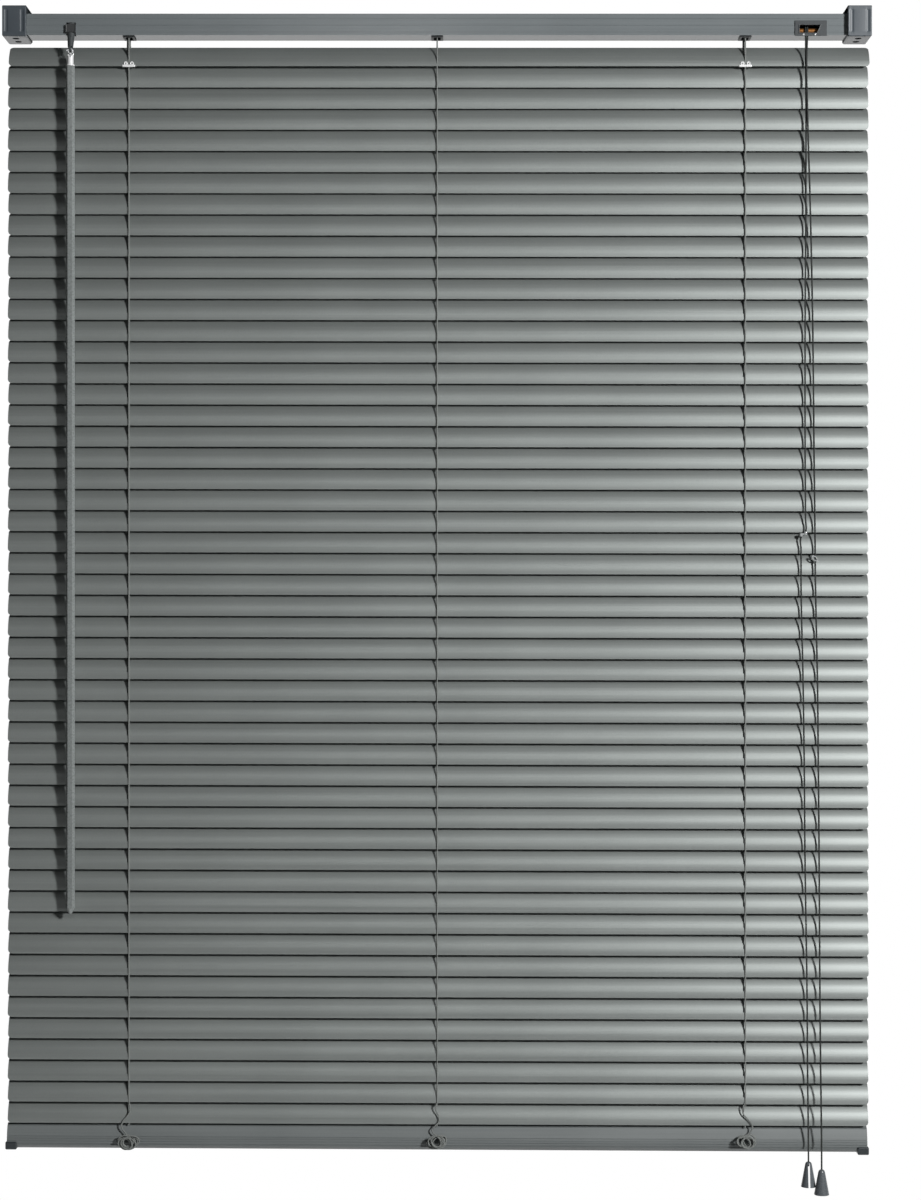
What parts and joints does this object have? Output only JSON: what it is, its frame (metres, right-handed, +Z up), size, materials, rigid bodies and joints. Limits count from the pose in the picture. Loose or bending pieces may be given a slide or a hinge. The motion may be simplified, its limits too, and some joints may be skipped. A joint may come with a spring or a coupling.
{
  "type": "venetian blind",
  "caption": "Grey horizontal venetian blind, closed, with a ribbed headrail in end brackets, a tilt wand, a cord lock with pull cords and tassels, string ladders and a bottom rail.",
  "frame": {"origin": "centre of the four wall screw holes of the two end brackets, on the wall", "axes": "+X to the right seen from the room, +Y into the wall, +Z up"},
  "size_m": [0.9, 0.0447, 1.23],
  "materials": {
    "slat": "satin grey plastic",
    "rail": "satin grey plastic",
    "bracket": "satin dark grey plastic",
    "cover": "satin dark grey plastic",
    "gear": "pale moulded plastic",
    "stem": "grey moulded plastic",
    "steel": "plain steel",
    "brass": "brass",
    "clear": "clear plastic",
    "string": "light grey braided string",
    "cord": "grey braided cord",
    "wand": "grey plastic",
    "lock": "dark grey plastic",
    "tassel": "dark grey plastic"
  },
  "bodies": {
    "headrail": {"headrail": "rail", "left_end_bracket": "bracket", "right_end_bracket": "bracket", "tilter_housing": "gear", "left_cradle": "gear", "centre_cradle": "gear", "right_cradle": "gear", "cord_lock_body": "lock", "lock_axle": "steel", "slats": "slat", "left_ladder": "string", "centre_ladder": "string", "right_ladder": "string", "left_clip": "clear", "right_clip": "clear", "left_lift_cord": "cord", "right_lift_cord": "cord", "pull_cord_1": "cord", "pull_cord_2": "cord", "cord_stop_1": "tassel", "cord_stop_2": "tassel", "tassel_1": "tassel", "tassel_2": "tassel"},
    "left_cover": {"left_cover": "cover"},
    "right_cover": {"right_cover": "cover"},
    "tilter_worm": {"tilter_worm": "stem"},
    "tilt_rod": {"tilt_rod": "steel", "worm_wheel": "gear", "left_drum": "gear", "centre_drum": "gear", "right_drum": "gear"},
    "wand_hook": {"wand_hook": "steel"},
    "wand": {"wand_sleeve": "clear", "wand": "wand"},
    "lock_roller": {"lock_roller": "brass"},
    "bottom_rail": {"bottom_rail": "rail", "left_end_cap": "lock", "right_end_cap": "lock", "left_plug": "lock", "centre_plug": "lock", "right_plug": "lock", "left_hank": "string", "centre_hank": "string", "right_hank": "string"}
  },
  "joints": [
    {"name": "left_cover_slide", "type": "slide", "parent": "headrail", "child": "left_cover", "axis": [0, 0, 1], "range_m": [0, 0.028]},
    {"name": "right_cover_slide", "type": "slide", "parent": "headrail", "child": "right_cover", "axis": [0, 0, 1], "range_m": [0, 0.028]},
    {"name": "tilt", "type": "hinge", "parent": "headrail", "child": "tilt_rod", "pos_m": [0, -0.0185, -0.0005], "axis": [-1, 0, 0], "range_deg": [0, 157.5]},
    {"name": "worm_turn", "type": "hinge", "parent": "headrail", "child": "tilter_worm", "pos_m": [-0.3795, -0.02681, 0.00173], "axis": [0, -0.2588, -0.9659], "range_deg": [0, 2520]},
    {"name": "wand_turn", "type": "hinge", "parent": "headrail", "child": "wand_hook", "pos_m": [-0.3795, -0.03496, -0.0287], "axis": [0, 0, -1], "range_deg": [0, 2520]},
    {"name": "wand_swing", "type": "hinge", "parent": "wand_hook", "child": "wand", "pos_m": [-0.3795, -0.03496, -0.0367], "axis": [-1, 0, 0], "range_deg": [0, 55]},
    {"name": "roller_turn", "type": "hinge", "parent": "headrail", "child": "lock_roller", "pos_m": [0.3875, -0.0242, -0.008], "axis": [1, 0, 0], "continuous": true},
    {"name": "lift", "type": "slide", "parent": "headrail", "child": "bottom_rail", "axis": [0, 0, 1], "range_m": [0, 1.01], "deforming": ["slats", "left_ladder", "centre_ladder", "right_ladder", "left_lift_cord", "right_lift_cord", "left_clip", "right_clip"]}
  ],
  "couplings": [
    {"joint": "worm_turn", "follows": "wand_turn", "ratio": 1},
    {"joint": "tilt", "follows": "wand_turn", "ratio": 0.0625}
  ]
}
